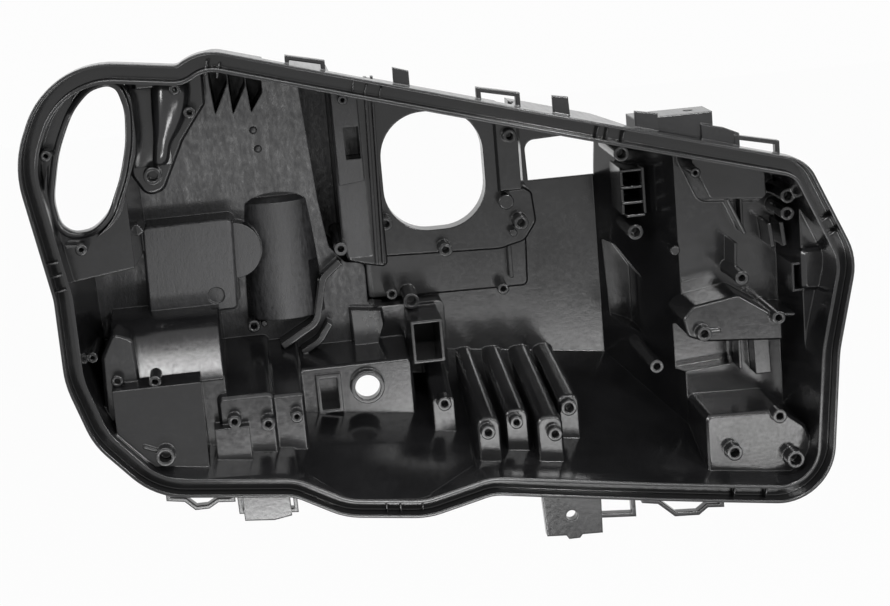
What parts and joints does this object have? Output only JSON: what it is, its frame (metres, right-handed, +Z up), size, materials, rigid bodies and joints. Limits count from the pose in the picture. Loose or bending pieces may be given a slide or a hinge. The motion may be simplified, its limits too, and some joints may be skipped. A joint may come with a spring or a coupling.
{
  "type": "headlamp housing",
  "caption": "Injection moulded headlamp housing: an open black shell with a glue channel round its lens opening, a rear port, screw bosses, ribs and outside clips.",
  "frame": {"origin": "middle of the rear port, in the plane of its collar's end face", "axes": "+Y out of the rear port, away from the lens opening; +Z up as fitted; +X to the right as seen from the lens side"},
  "size_m": [0.5817, 0.1925, 0.3776],
  "materials": {
    "housing_plastic": "black polypropylene, polished floor and sides, grained panels"
  },
  "bodies": {
    "root": {"housing": "housing_plastic"}
  },
  "joints": []
}
